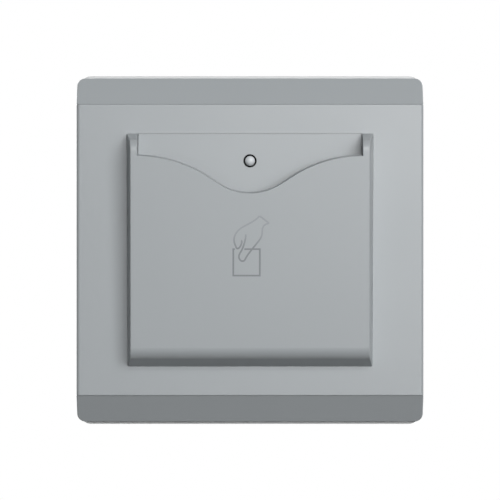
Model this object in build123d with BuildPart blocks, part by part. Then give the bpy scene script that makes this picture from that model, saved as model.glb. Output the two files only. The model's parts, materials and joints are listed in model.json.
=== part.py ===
from build123d import *
from math import atan, cos, pi, radians, sin, tan
import os

os.makedirs("parts", exist_ok=True)

# Hotel key card switch for a square wall box. Millimetres.
# The wall is the plane Y = 0, the room is towards -Y, +X is right and +Z is up.
# A "depth" is a distance in front of the wall, and is negative inside the wall box.

# Clearances
seat_gap = 0.15
panel_seam = 0.03
running_gap = 0.05
screw_gap = 0.02
touch_gap = 0.05
cut_overrun = 1.0

# Plate: the borders round the card pocket make it 86 wide, and the base's rim 86.8 high
pocket_side_border = 13.55
pocket_top_border = 7.35
pocket_bottom_border = 7.35
band_height = 6.6
frame_rim_setback = 0.65
base_floor = 2.2
base_side_setback = 0.4
base_corner = 3.0
frame_corner = 2.0
frame_wall = 1.8
panel_thickness = 2.2
panel_step = 0.24
band_fall = 4.8
panel_side_round = 0.8
panel_end_round = 0.3
frame_edge_round = 0.35

# Frame ring and snap hooks
ledge_thickness = 1.6
ledge_inset_x = 3.6
ledge_inset_z = 3.5
band_skin = 1.6
hook_width = 6.0
hook_thickness = 1.2
hook_offset_x = 20.0
hook_from_rim = 4.65
hook_end_depth = 0.5
hook_root_bite = 0.4
barb_height = 0.6
barb_length = 0.5
catch_layer = 1.1
tongue_width = 8.0
tongue_thickness = 1.4
tongue_from_side = 13.0
tongue_from_edge = 1.1
tongue_reach = 2.4
tongue_barb = 0.5

# Mounting base
locating_rib = 1.2
locating_rib_height = 1.0
slot_spacing = 60.3
slot_width = 4.4
slot_length = 6.6
slot_pad_border = 1.8
slot_pad_height = 0.6
boss_radius = 2.6
boss_cap = 0.5
rim_rib = 1.2
rim_rib_height = 1.5

# Card pocket
pocket_height = 57.6
rail_width = 1.65
pocket_rise_top = 8.0
pocket_rise_bottom = 6.0
side_draft = 7.9
top_draft = 14.0
bottom_draft = 24.0
pocket_top_round = 3.1
pocket_bottom_round = 3.2
pocket_side_round = 0.3
pocket_wall = 1.8
pocket_floor_wall = 2.6
pocket_floor_round = 1.6
card_slot_width = 55.6
wave_from_top = 5.35
wave_dip = 9.2
wave_valley_radius = 14.0
wave_slope_width = 0.4
wave_slope_depth = 1.4
lip_width = 1.2
lip_thickness = 1.2
card_path = 2.4
pocket_rib_width = 1.2
pocket_rib_shares = [0.32, 0.79]
pocket_rib_from_wave = 10.25
pocket_rib_lead = 6.0

# Pictogram of a hand and a card, cut into the pocket's face
mark_line = 0.42
mark_depth = 0.14
mark_card = 6.5
mark_card_offset = (2.64, -0.5)
mark_hand_size = 10.9
mark_hand_left = -3.5
mark_from_wave = 5.9
mark_hand_shares = [
    [(0.0, 0.32), (0.0, 0.598), (0.075, 0.69), (0.25, 0.8), (0.386, 0.876), (0.535, 1.0)],
    [(0.535, 1.0), (0.752, 0.836)],
    [(0.752, 0.836), (0.6, 0.7), (0.59, 0.58), (0.48, 0.39), (0.32, 0.19), (0.2, 0.0)],
    [(0.2, 0.0), (0.12, -0.01), (0.072, 0.068), (0.128, 0.218), (0.195, 0.394), (0.225, 0.585)],
    [(0.0, 0.32), (0.045, 0.265), (0.1, 0.313), (0.12, 0.45)],
]
mark_gap_centre_share = 0.24
mark_gap_width_share = 0.36

# Card guide behind the panel
guide_back_gap = 0.2
guide_flange = 1.4
guide_recess = 0.1
guide_wall = 1.6
guide_rib = 1.2
guide_rib_share = 0.5
guide_screw_side_gap = 0.3
guide_screw_from_top = 6.8
guide_window_margin = 0.4
guide_window_top_share = 0.2
guide_window_end = 1.3

# Indicator
indicator_from_top = 6.7
lens_radius = 1.17
lens_hole_gap = 0.48
lens_collar_border = 0.95
lens_collar = 1.2
lens_stand_out = 0.1
lens_dome = 0.6
led_gap = 0.3
pipe_hole_gap = 0.43
led_radius = 1.5
led_flange_radius = 1.9
led_flange = 1.0
led_body = 2.8
led_lead_radius = 0.25
led_lead_pitch = 2.54

# Card lever, its pin and its spring
hub_floor_gap = 0.3
lever_pivot_height = 1.0
lever_width = 4.6
lever_hub_radius = 1.9
lever_swing = 17.0
lever_pin_radius = 1.0
lever_nose_reach = 7.7
lever_nose_drop = 12.0
lever_nose_radius = 0.9
lever_arm_shares = [
    (-0.16, 0.1), (0.29, 1.125), (0.57, 1.11), (1.0, 0.915), (0.39, 0.385), (0.23, 0.2), (0.2, 0.0)
]
lever_tail_reach = 3.55
lever_tail_drop = 3.4
lever_tail_radius = 1.2
lever_contact_gap = 0.08
ear_thickness = 1.5
ear_side_gap = 0.2
spring_wire = 0.4
spring_radius = 1.65
spring_turns = 4
spring_pitch = 0.52
spring_leg = 3.0

# Microswitch
switch_length = 19.8
switch_width = 6.4
switch_height = 10.2
switch_wall = 1.0
switch_above_plunger = 7.3
plunger_radius = 0.95
plunger_travel = 0.85
plunger_spare = 0.15
plunger_head_radius = 1.5
plunger_head = 0.5
plunger_nub_radius = 0.5
plunger_nub = 0.2
blade_thickness = 0.3
blade_width = 3.2
blade_pivot_from_end = 2.6
blade_end_gap = 1.8
contact_travel = 1.2
contact_radius = 0.9
contact_button = 0.4
contact_plate = 0.5
contact_from_end = 2.6
contact_plate_width = 3.0
switch_pin_width = 1.0

# Circuit board
block_from_side = 8.5
lamp_from_edge = 2.7
board_thickness = 1.6
board_corner = 1.0
board_screw_from_side = 3.5
board_screw_from_end = 3.3
pillar_radius = 2.4
lead_stand_out = 1.4
lead_hole_gap = 0.15

# Rear housing
board_side_gap = 0.2
board_end_gap = 0.4
housing_back_gap = 0.57
housing_wall = 1.8
housing_corner = 3.0
housing_back_round = 1.0
housing_flange = 2.2
housing_flange_reach = 5.5
flange_side_setback = 2.0
housing_screw_from_side = 5.0
housing_screw_from_wall = 2.2

# Tapping screws: pilot radius, head radius, head height, slot width and slot depth
screw_radius = 1.0
screw_clear_gap = 0.25
screw_head_radius = 2.0
screw_head = 1.4
screw_slot_width = 0.6
screw_slot_depth = 0.5
guide_screw_bite = 2.4
board_screw_bite = 5.0
housing_screw_bite = 3.2
pilot_spare = 0.3

# Terminals
terminal_count = 3
terminal_pitch = 9.0
terminal_wall = 1.0
terminal_back_gap = 1.57
terminal_height = 11.0
terminal_floor_gap = 0.3
cage_width = 7.0
cage_height = 7.6
cage_depth = 8.0
cage_gap = 0.1
cage_stand_off = 2.4
wire_radius = 1.9
clamp_screw_radius = 1.75
clamp_head_radius = 2.6
clamp_head = 1.8
clamp_screw_length = 3.2
clamp_slot_width = 0.9
clamp_slot_depth = 0.8
driver_hole_radius = 2.4
tag_width = 1.0

# Other parts on the board, by the middle of each
relay_size = (19.0, 15.5, 15.2)
relay_from_side = 1.3
relay_from_screws = 1.55
relay_case_wall = 0.8
relay_pin_inset = 2.0
relay_base_thickness = 1.2
relay_coil_radius = 5.0
relay_coil_length = 11.0
film_size = (17.5, 6.4, 11.5)
film_from_side = 2.05
film_from_screws = 1.1
film_round = 0.8
can_radius = 5.0
can_height = 12.0
can_from_side = 4.5
can_from_film = 3.4
varistor_radius = 4.6
varistor_thickness = 3.6
varistor_from_side = 4.9
varistor_from_relay = 2.0
diode_radius = 1.3
diode_length = 5.2
diode_first = (5.8, -7.3)
diode_step = 3.6
diode_count = 4
resistor_radius = 2.0
resistor_length = 10.0
resistor_from_side = 8.6
resistor_below_relay = 0.9
transistor_radius = 2.3
transistor_flat = 1.3
transistor_height = 4.6
transistor_centre = (6.6, 5.0)
zener_radius = 0.95
zener_length = 4.0
zener_centre = (-6.2, -7.3)
lead_radius = 0.3
lead_reach = 1.3
part_stand_off = 0.3
film_lead_inset = 1.25
can_lead_pitch = 5.0
varistor_lead_pitch = 7.5
transistor_lead_pitch = 1.27

# Outlines that follow from the sizes above, from the pocket outwards
card_slot_half = card_slot_width / 2
pocket_face_width = card_slot_width + 2 * rail_width
plate_width = pocket_face_width + 2 * pocket_side_border
panel_height = pocket_height + pocket_top_border + pocket_bottom_border
frame_height = panel_height + 2 * band_height
plate_height = frame_height + 2 * frame_rim_setback
half_frame = frame_height / 2
half_panel = panel_height / 2
pocket_top = half_panel - pocket_top_border
pocket_bottom = -half_panel + pocket_bottom_border
wave_height = pocket_top - wave_from_top
wave_low = wave_height - wave_dip
indicator_height = pocket_top - indicator_from_top
screw_clear_radius = screw_radius + screw_clear_gap
lens_hole_radius = lens_radius + lens_hole_gap
lens_collar_radius = lens_hole_radius + lens_collar_border
pipe_hole_radius = lens_radius + pipe_hole_gap

# Depths, from the mounting base towards the room
boss_top = housing_screw_bite + pilot_spare + boss_cap
flange_back = boss_top + guide_back_gap
lip_back = flange_back + guide_flange
ledge_front = lip_back + lip_thickness
ledge_back = ledge_front - ledge_thickness
panel_depth = ledge_front + panel_thickness
frame_crest = panel_depth - panel_step
band_edge = frame_crest - band_fall
band_angle = atan(band_fall / band_height)
ledge_half_x = plate_width / 2 - ledge_inset_x
ledge_half_z = half_panel - ledge_inset_z
cavity_half_x = plate_width / 2 - frame_wall
cavity_half_z = half_frame - frame_wall

guide_front = panel_depth - guide_recess
guide_skin_back = guide_front - guide_wall

pocket_slope = atan((pocket_rise_top - pocket_rise_bottom) / pocket_height)
slot_floor = pocket_bottom + pocket_floor_wall
guide_half = card_slot_half - seat_gap

# Depths, from the lever back into the wall box
lever_pivot_depth = base_floor + hub_floor_gap + lever_hub_radius
pad_back = lever_pivot_depth - lever_tail_reach - lever_tail_radius
plunger_tip = pad_back - lever_contact_gap
plunger_height = lever_pivot_height - lever_tail_drop + lever_tail_radius / 2
switch_front = plunger_tip - plunger_travel - plunger_spare
switch_top = plunger_height + switch_above_plunger
switch_middle = switch_top - switch_length / 2
board_front = switch_front - switch_height
board_back = board_front - board_thickness
housing_inside = board_back - relay_size[2] - housing_back_gap
housing_depth = housing_wall - housing_inside

# Outlines of the board and its housing, from the terminals and the lamp outwards
block_width = terminal_count * terminal_pitch + 2 * terminal_wall
board_width = block_width + 2 * block_from_side
board_height = 2 * (indicator_height + lamp_from_edge)
board_screw_x = board_width / 2 - board_screw_from_side
board_screw_z = board_height / 2 - board_screw_from_end
housing_width = board_width + 2 * (board_side_gap + housing_wall)
housing_height = board_height + 2 * (board_end_gap + housing_wall)
housing_flange_width = housing_width - 2 * flange_side_setback
housing_flange_height = housing_height + 2 * housing_flange_reach
housing_screw_x = housing_flange_width / 2 - housing_screw_from_side
housing_screw_z = housing_height / 2 + housing_screw_from_wall


def facing(depth):
    """A plane parallel to the wall that looks out at the room."""
    return Plane.XZ.offset(depth)


def across(x):
    """A plane square to the wall, with Y and Z as its own axes, that looks to the right."""
    return Plane.YZ.offset(x)


def pocket_face_depth(z):
    """Depth of the pocket's sloping face at height z."""
    return panel_depth + pocket_rise_bottom + (z - pocket_bottom) * tan(pocket_slope)


def pocket_half_width(rise):
    """Half width of the pocket where it meets the plate, rise behind its face."""
    return pocket_face_width / 2 + rise * cos(pocket_slope) * tan(radians(side_draft))


def pocket_outline(border, depth):
    """The pocket's outline on the plate, grown by a border."""
    half_top = pocket_half_width(pocket_rise_top) + border
    half_bottom = pocket_half_width(pocket_rise_bottom) + border
    top = pocket_top + border
    bottom = pocket_bottom - border
    with BuildSketch(facing(depth)) as outline:
        with BuildLine():
            Polyline(
                (-half_bottom, bottom), (half_bottom, bottom), (half_top, top), (-half_top, top), close=True
            )
        make_face()
    return outline.sketch


def slotted_screws(head_back, length, places):
    """A group of pan head screws with their heads at the rear and their shanks towards the room."""
    with BuildPart() as screws:
        for x, z in places:
            with BuildSketch(facing(head_back)):
                with Locations((x, z)):
                    Circle(screw_head_radius)
            extrude(amount=screw_head)
            with BuildSketch(facing(head_back + screw_head)):
                with Locations((x, z)):
                    Circle(screw_radius - screw_gap)
            extrude(amount=length)
            with BuildSketch(facing(head_back)):
                with Locations((x, z)):
                    Rectangle(2 * (screw_head_radius + cut_overrun), screw_slot_width)
            extrude(amount=screw_slot_depth, mode=Mode.SUBTRACT)
    return screws


def corners(x, z):
    """Four places, mirrored about the middle."""
    return [(sx * x, sz * z) for sx in (-1, 1) for sz in (-1, 1)]


def finish(builder, name):
    """Label a piece and write it to its own file."""
    builder.part.label = name
    export_step(builder.part, f"parts/{name}.step")


# Outer frame: a ring whose top and bottom bands slope back to the rim
hook_places = corners(hook_offset_x, plate_height / 2 - hook_from_rim)
tongue_offset_x = plate_width / 2 - tongue_from_side
tongue_middle = half_panel - tongue_from_edge - tongue_thickness / 2
band_inside = frame_crest - band_skin / cos(band_angle)
ceiling_bend = half_panel + (band_inside - ledge_back) / tan(band_angle)
rim_ceiling = band_inside - (cavity_half_z - half_panel) * tan(band_angle)

with BuildPart() as outer_frame:
    with BuildSketch(facing(base_floor)):
        RectangleRounded(plate_width, frame_height, frame_corner)
    extrude(amount=frame_crest - base_floor)
    with BuildSketch(facing(ledge_front)):
        Rectangle(plate_width + cut_overrun, panel_height)
    extrude(amount=panel_depth, mode=Mode.SUBTRACT)
    for side in (-1, 1):
        with BuildSketch(Plane.YZ):
            with BuildLine():
                Polyline(
                    (-frame_crest, side * half_panel),
                    (-band_edge, side * half_frame),
                    (-band_edge + cut_overrun * tan(band_angle), side * (half_frame + cut_overrun)),
                    (-frame_crest - cut_overrun, side * (half_frame + cut_overrun)),
                    (-frame_crest - cut_overrun, side * half_panel),
                    close=True,
                )
            make_face()
        extrude(amount=plate_width, both=True, mode=Mode.SUBTRACT)
    front_edges = outer_frame.edges().filter_by(lambda e: e.center().Y < -band_edge + seat_gap)
    fillet(front_edges.filter_by(lambda e: abs(e.center().Z) > half_panel + panel_seam), frame_edge_round)
    with BuildSketch(Plane.YZ):
        with BuildLine():
            Polyline(
                (-base_floor + cut_overrun, -cavity_half_z),
                (-rim_ceiling, -cavity_half_z),
                (-ledge_back, -ceiling_bend),
                (-ledge_back, ceiling_bend),
                (-rim_ceiling, cavity_half_z),
                (-base_floor + cut_overrun, cavity_half_z),
                close=True,
            )
        make_face()
    extrude(amount=cavity_half_x, both=True, mode=Mode.SUBTRACT)
    with BuildSketch(facing(ledge_back)):
        Rectangle(2 * ledge_half_x, 2 * ledge_half_z)
    extrude(amount=panel_depth, mode=Mode.SUBTRACT)
    for x, z in hook_places:
        outward = 1 if z > 0 else -1
        with BuildSketch(facing(hook_end_depth)):
            with Locations((x, z)):
                Rectangle(hook_width, hook_thickness)
        extrude(amount=ledge_back + hook_root_bite - hook_end_depth)
        with BuildSketch(facing(hook_end_depth)):
            with Locations((x, z + outward * (hook_thickness + barb_height) / 2)):
                Rectangle(hook_width, barb_height)
        extrude(amount=barb_length)
    with BuildSketch(facing(ledge_back)):
        with Locations(corners(tongue_offset_x, tongue_middle)):
            Rectangle(tongue_width + 2 * seat_gap, tongue_thickness + 2 * seat_gap)
    extrude(amount=ledge_thickness, mode=Mode.SUBTRACT)
finish(outer_frame, "outer_frame")


# Middle panel: full width, seated on the frame's ledge, open for the card pocket
lip_half = pocket_half_width(pocket_rise_top) + lip_width
guide_screw_x = lip_half + guide_screw_side_gap + pillar_radius
guide_screw_z = pocket_top - guide_screw_from_top
guide_screw_places = corners(guide_screw_x, guide_screw_z)

with BuildPart() as centre_panel:
    with BuildSketch(facing(ledge_front)):
        Rectangle(plate_width, panel_height - 2 * panel_seam)
    extrude(amount=panel_thickness)
    panel_face = centre_panel.faces().sort_by(Axis.Y)[0]
    fillet(panel_face.edges().filter_by(Axis.Z), panel_side_round)
    panel_face = centre_panel.faces().sort_by(Axis.Y)[0]
    fillet(panel_face.edges().filter_by(Axis.X), panel_end_round)
    extrude(pocket_outline(panel_seam, ledge_front), amount=panel_thickness, mode=Mode.SUBTRACT)
    with BuildSketch(facing(ledge_front)):
        with Locations(corners(tongue_offset_x, tongue_middle)):
            Rectangle(tongue_width, tongue_thickness)
    extrude(amount=-tongue_reach)
    tongue_barb_middle = tongue_middle + (tongue_thickness + tongue_barb) / 2
    with BuildSketch(facing(ledge_front - tongue_reach)):
        with Locations(corners(tongue_offset_x, tongue_barb_middle)):
            Rectangle(tongue_width, tongue_barb)
    extrude(amount=ledge_back - touch_gap - (ledge_front - tongue_reach))
    with BuildSketch(facing(lip_back)):
        with Locations(guide_screw_places):
            Circle(pillar_radius)
    extrude(amount=ledge_front - lip_back)
    with BuildSketch(facing(lip_back)):
        with Locations(guide_screw_places):
            Circle(screw_radius)
    extrude(amount=guide_screw_bite + pilot_spare, mode=Mode.SUBTRACT)
finish(centre_panel, "centre_panel")


# Pocket cover: the raised holder, open at the top between its two rails
face_top = pocket_top - pocket_rise_top * tan(radians(top_draft))
face_bottom = pocket_bottom + pocket_rise_bottom * tan(radians(bottom_draft))
face_plane = Plane(
    origin=(0, -pocket_face_depth(0), 0), x_dir=(1, 0, 0), z_dir=(0, -cos(pocket_slope), -sin(pocket_slope))
)
wall_run = pocket_wall / cos(pocket_slope)
rib_depth = guide_front + card_path
wave_radii = (card_slot_half**2 + wave_dip**2) / (2 * wave_dip)
wave_hill_radius = wave_radii - wave_valley_radius
pocket_rib_top = wave_low - pocket_rib_from_wave
mark_hand_base = wave_low - mark_from_wave - mark_hand_size
mark_card_centre = (mark_hand_left + mark_card_offset[0], mark_hand_base + mark_card_offset[1])


def inside_depth(z):
    """Depth of the inside of the pocket's front wall at height z."""
    return pocket_face_depth(z) - wall_run


def wave_line(side):
    """One half of the wave, from the rail down to the valley, as places on it."""
    hill = Vector(side * card_slot_half, wave_height - wave_hill_radius)
    valley = Vector(0, wave_low + wave_valley_radius)
    join = valley + (hill - valley) * (wave_valley_radius / wave_radii)
    hill_way = ((join - hill).normalized() + Vector(0, 1)).normalized()
    valley_way = ((join - valley).normalized() + Vector(0, -1)).normalized()
    rail = Vector(side * card_slot_half, wave_height)
    return rail, hill + hill_way * wave_hill_radius, join, valley + valley_way * wave_valley_radius


def hand_stroke(shares):
    """One line of the hand, as a narrow face on the pocket's face."""
    points = [
        (mark_hand_left + across_share * mark_hand_size, mark_hand_base + up_share * mark_hand_size)
        for across_share, up_share in shares
    ]
    with BuildSketch(face_plane) as stroke:
        with BuildLine():
            if len(points) > 2:
                Spline(*points)
            else:
                Line(*points)
        trace(line_width=mark_line)
    return stroke.sketch


def card_mark():
    """The card's outline, open where the hand crosses its top edge."""
    centre_x, centre_z = mark_card_centre
    left = centre_x - mark_card / 2
    with BuildSketch(face_plane) as outline:
        with Locations(mark_card_centre):
            Rectangle(mark_card + mark_line, mark_card + mark_line)
            Rectangle(mark_card - mark_line, mark_card - mark_line, mode=Mode.SUBTRACT)
        with Locations((left + mark_gap_centre_share * mark_card, centre_z + mark_card / 2)):
            Rectangle(mark_gap_width_share * mark_card, 2 * mark_line, mode=Mode.SUBTRACT)
    return outline.sketch


with BuildPart() as pocket_cover:
    with BuildSketch(Plane.YZ) as pocket_section:
        with BuildLine():
            Polyline(
                (-panel_depth, pocket_top),
                (-pocket_face_depth(face_top), face_top),
                (-pocket_face_depth(face_bottom), face_bottom),
                (-panel_depth, pocket_bottom),
                close=True,
            )
        make_face()
        fillet(pocket_section.vertices().sort_by(Axis.X)[1], pocket_bottom_round)
        fillet(pocket_section.vertices().sort_by(Axis.X)[0], pocket_top_round)
    extrude(amount=pocket_half_width(pocket_rise_top) + cut_overrun, both=True)
    for side in (-1, 1):
        lean = radians(side_draft)
        outward = Vector(side, 0, 0) * cos(lean) + face_plane.z_dir * sin(lean)
        flank = Plane(origin=(side * pocket_face_width / 2, -pocket_face_depth(0), 0), z_dir=outward)
        split(bisect_by=flank, keep=Keep.BOTTOM)
    flank_edges = pocket_cover.edges().filter_by(lambda e: abs(e.center().X) > card_slot_half)
    fillet(flank_edges.filter_by(lambda e: e.center().Y < -panel_depth - touch_gap), pocket_side_round)
    extrude(pocket_outline(0, lip_back), amount=panel_depth - lip_back)
    extrude(pocket_outline(lip_width, lip_back), amount=lip_thickness)
    with BuildSketch(Plane.YZ) as hollow_section:
        with BuildLine():
            Polyline(
                (-inside_depth(slot_floor), slot_floor),
                (-inside_depth(pocket_top + cut_overrun), pocket_top + cut_overrun),
                (-ledge_front, pocket_top + cut_overrun),
                (-ledge_front, pocket_top),
                (-lip_back + cut_overrun, pocket_top),
                (-lip_back + cut_overrun, slot_floor),
                close=True,
            )
        make_face()
        fillet(hollow_section.vertices().sort_by(Axis.Y)[:2].sort_by(Axis.X)[:1], pocket_floor_round)
    extrude(amount=card_slot_half, both=True, mode=Mode.SUBTRACT)
    with BuildSketch(facing(panel_depth)):
        with BuildLine():
            right_rail, right_hill, right_join, right_valley = wave_line(1)
            left_rail, left_hill, left_join, left_valley = wave_line(-1)
            ThreePointArc(right_rail, right_hill, right_join)
            ThreePointArc(right_join, (0, wave_low), left_join)
            ThreePointArc(left_join, left_hill, left_rail)
            Polyline(
                left_rail,
                (-card_slot_half, pocket_top + cut_overrun),
                (card_slot_half, pocket_top + cut_overrun),
                right_rail,
            )
        make_face()
    extrude(amount=pocket_rise_top + cut_overrun, mode=Mode.SUBTRACT)
    mouth_edges = pocket_cover.edges().filter_by(lambda e: abs(e.center().X) < card_slot_half - touch_gap)
    mouth_edges = mouth_edges.filter_by_position(Axis.Z, wave_low - seat_gap, wave_height + seat_gap)
    mouth_edges = mouth_edges.filter_by(
        lambda e: -e.center().Y > pocket_face_depth(e.center().Z) - pocket_wall / 2
    )
    front_faces = pocket_cover.faces().filter_by(lambda f: f.normal_at() == face_plane.z_dir)
    front_face = front_faces.sort_by(SortBy.AREA)[-1]
    chamfer(mouth_edges, wave_slope_width, wave_slope_depth, reference=front_face)
    for rib_share in pocket_rib_shares:
        for side in (-1, 1):
            with BuildSketch(across(side * rib_share * card_slot_half - pocket_rib_width / 2)):
                with BuildLine():
                    Polyline(
                        (-rib_depth, slot_floor - seat_gap),
                        (-rib_depth, pocket_rib_top),
                        (-inside_depth(pocket_rib_top), pocket_rib_top + pocket_rib_lead),
                        (-inside_depth(slot_floor) - seat_gap, slot_floor - seat_gap),
                        close=True,
                    )
                make_face()
            extrude(amount=pocket_rib_width)
    for shares in mark_hand_shares:
        extrude(hand_stroke(shares), amount=mark_depth, dir=-face_plane.z_dir, mode=Mode.SUBTRACT)
    extrude(card_mark(), amount=mark_depth, dir=-face_plane.z_dir, mode=Mode.SUBTRACT)
finish(pocket_cover, "pocket_cover")


# Card guide: the back wall of the card slot, with the flange that holds the cover's lip
guide_middle = (pocket_top + slot_floor) / 2
guide_length = pocket_top - slot_floor - 2 * panel_seam
guide_rib_offset = guide_rib_share * guide_half
guide_window_top = guide_window_top_share * lever_nose_drop
guide_window_bottom = lever_nose_drop * max(down for out, down in lever_arm_shares) + guide_window_end
window_middle = lever_pivot_height - (guide_window_top + guide_window_bottom) / 2

with BuildPart() as card_guide:
    extrude(pocket_outline(lip_width, flange_back), amount=guide_flange)
    with BuildSketch(facing(flange_back)):
        with Locations(guide_screw_places):
            Circle(pillar_radius)
        with Locations((0, -guide_screw_z), (0, guide_screw_z)):
            Rectangle(2 * guide_screw_x, 2 * pillar_radius)
    extrude(amount=guide_flange)
    with BuildSketch(facing(lip_back)):
        with Locations((0, guide_middle)):
            Rectangle(2 * guide_half, guide_length)
    extrude(amount=guide_front - lip_back)
    with BuildSketch(facing(flange_back)):
        with Locations((0, guide_middle)):
            Rectangle(2 * (guide_half - guide_wall), guide_length - 2 * guide_wall)
    extrude(amount=guide_skin_back - flange_back, mode=Mode.SUBTRACT)
    with BuildSketch(facing(flange_back)):
        with Locations((-guide_rib_offset, guide_middle), (guide_rib_offset, guide_middle)):
            Rectangle(guide_rib, guide_length - guide_wall)
    extrude(amount=guide_skin_back - flange_back)
    with BuildSketch(facing(guide_skin_back)):
        with Locations((0, indicator_height)):
            Circle(lens_hole_radius)
        with Locations((0, window_middle)):
            Rectangle(lever_width + 2 * guide_window_margin, guide_window_bottom - guide_window_top)
    extrude(amount=guide_wall, mode=Mode.SUBTRACT)
    with BuildSketch(facing(flange_back)):
        with Locations(guide_screw_places):
            Circle(screw_clear_radius)
    extrude(amount=guide_flange, mode=Mode.SUBTRACT)
finish(card_guide, "card_guide")

guide_screws = slotted_screws(flange_back - screw_head, guide_flange + guide_screw_bite, guide_screw_places)
finish(guide_screws, "guide_screws")


# Mounting base: closes the wall box, carries the frame's hooks, the lever and the board
slot_places = [(-slot_spacing / 2, 0), (slot_spacing / 2, 0)]
housing_screw_places = corners(housing_screw_x, housing_screw_z)
board_screw_places = corners(board_screw_x, board_screw_z)
rim_half_x = housing_width / 2 - housing_wall - seat_gap
rim_half_z = housing_height / 2 - housing_wall - seat_gap
lever_half = lever_width / 2
spring_start = lever_half + ear_side_gap + spring_wire / 2
spring_end = spring_start + spring_turns * spring_pitch
left_ear = -lever_half - ear_side_gap - ear_thickness
right_ear = spring_end + spring_wire / 2 + ear_side_gap
swing = radians(lever_swing)
tail_rise = lever_tail_reach * sin(swing) - lever_tail_drop * cos(swing)
tail_slot_top = lever_pivot_height + tail_rise + lever_tail_radius + guide_window_margin
tail_slot_bottom = lever_pivot_height - lever_tail_drop - lever_tail_radius - guide_window_margin
pivot = (-lever_pivot_depth, lever_pivot_height)

with BuildPart() as mounting_base:
    with BuildSketch(facing(0)):
        RectangleRounded(plate_width - 2 * base_side_setback, plate_height, base_corner)
    extrude(amount=base_floor)
    with BuildSketch(facing(base_floor)):
        rib_gap = seat_gap + locating_rib
        RectangleRounded(2 * (cavity_half_x - seat_gap), 2 * (cavity_half_z - seat_gap), frame_corner / 2)
        Rectangle(2 * (cavity_half_x - rib_gap), 2 * (cavity_half_z - rib_gap), mode=Mode.SUBTRACT)
    extrude(amount=locating_rib_height)
    with BuildSketch(facing(base_floor)):
        with Locations(slot_places):
            SlotOverall(slot_length + 2 * slot_pad_border, slot_width + 2 * slot_pad_border)
    extrude(amount=slot_pad_height)
    with BuildSketch(facing(0)):
        with Locations(slot_places):
            SlotOverall(slot_length, slot_width)
    extrude(amount=base_floor + slot_pad_height, mode=Mode.SUBTRACT)
    for x, z in hook_places:
        outward = 1 if z > 0 else -1
        with BuildSketch(facing(0)):
            with Locations((x, z)):
                Rectangle(hook_width + 4 * seat_gap, hook_thickness + 2 * seat_gap)
        extrude(amount=base_floor, mode=Mode.SUBTRACT)
        with BuildSketch(facing(0)):
            with Locations((x, z + outward * barb_height / 2)):
                Rectangle(hook_width + 4 * seat_gap, hook_thickness + barb_height + 4 * seat_gap)
        extrude(amount=catch_layer, mode=Mode.SUBTRACT)
    with BuildSketch(facing(base_floor)):
        with Locations(housing_screw_places):
            Circle(boss_radius)
    extrude(amount=boss_top - base_floor)
    with BuildSketch(facing(0)):
        with Locations(housing_screw_places):
            Circle(screw_radius)
    extrude(amount=housing_screw_bite + pilot_spare, mode=Mode.SUBTRACT)
    with BuildSketch(facing(0)):
        Rectangle(2 * rim_half_x, 2 * rim_half_z)
        Rectangle(2 * (rim_half_x - rim_rib), 2 * (rim_half_z - rim_rib), mode=Mode.SUBTRACT)
    extrude(amount=-rim_rib_height)
    with BuildSketch(facing(0)):
        with Locations(board_screw_places):
            Circle(pillar_radius)
    extrude(amount=board_front)
    with BuildSketch(facing(board_front)):
        with Locations(board_screw_places):
            Circle(screw_radius)
    extrude(amount=board_screw_bite + pilot_spare, mode=Mode.SUBTRACT)
    with BuildSketch(facing(0)):
        with Locations((0, indicator_height)):
            Circle(pipe_hole_radius)
        with Locations((0, (tail_slot_top + tail_slot_bottom) / 2)):
            Rectangle(lever_width + 2 * guide_window_margin, tail_slot_top - tail_slot_bottom)
    extrude(amount=base_floor, mode=Mode.SUBTRACT)
    for ear_start in (left_ear, right_ear):
        with BuildSketch(across(ear_start)):
            with Locations(pivot):
                Circle(lever_hub_radius)
            with Locations((-(lever_pivot_depth + base_floor) / 2, lever_pivot_height)):
                Rectangle(lever_pivot_depth - base_floor, 2 * lever_hub_radius)
            with Locations(pivot):
                Circle(lever_pin_radius + screw_gap, mode=Mode.SUBTRACT)
        extrude(amount=ear_thickness)
finish(mounting_base, "mounting_base")


# Card lever: the nose stands in the card's path and the tail presses the switch
with BuildPart() as card_lever:
    with BuildSketch(across(-lever_half)) as lever_section:
        with BuildLine():
            Polyline(
                *[
                    (pivot[0] - out * lever_nose_reach, pivot[1] - down * lever_nose_drop)
                    for out, down in lever_arm_shares
                ],
                close=True,
            )
        make_face()
        fillet(lever_section.vertices().sort_by(Axis.X)[:1], lever_nose_radius)
        with Locations(pivot):
            Circle(lever_hub_radius)
        tail_y = -lever_pivot_depth + lever_tail_reach
        tail_z = lever_pivot_height - lever_tail_drop
        with Locations((tail_y, tail_z)):
            Circle(lever_tail_radius)
        with Locations((tail_y - lever_tail_reach / 2, tail_z)):
            Rectangle(lever_tail_reach, 2 * lever_tail_radius)
        with Locations(pivot):
            Circle(lever_pin_radius + running_gap, mode=Mode.SUBTRACT)
    extrude(amount=lever_width)
finish(card_lever, "card_lever")

with BuildPart() as lever_pin:
    with BuildSketch(across(left_ear)):
        with Locations(pivot):
            Circle(lever_pin_radius)
    extrude(amount=right_ear + ear_thickness - left_ear)
finish(lever_pin, "lever_pin")


def on_spring(turns):
    """A place on the spring's wire, counted in turns from its lever end."""
    angle = 2 * pi * turns
    y = -lever_pivot_depth + spring_radius * cos(angle)
    z = lever_pivot_height + spring_radius * sin(angle)
    return Vector(spring_start + turns * spring_pitch, y, z)


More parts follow.
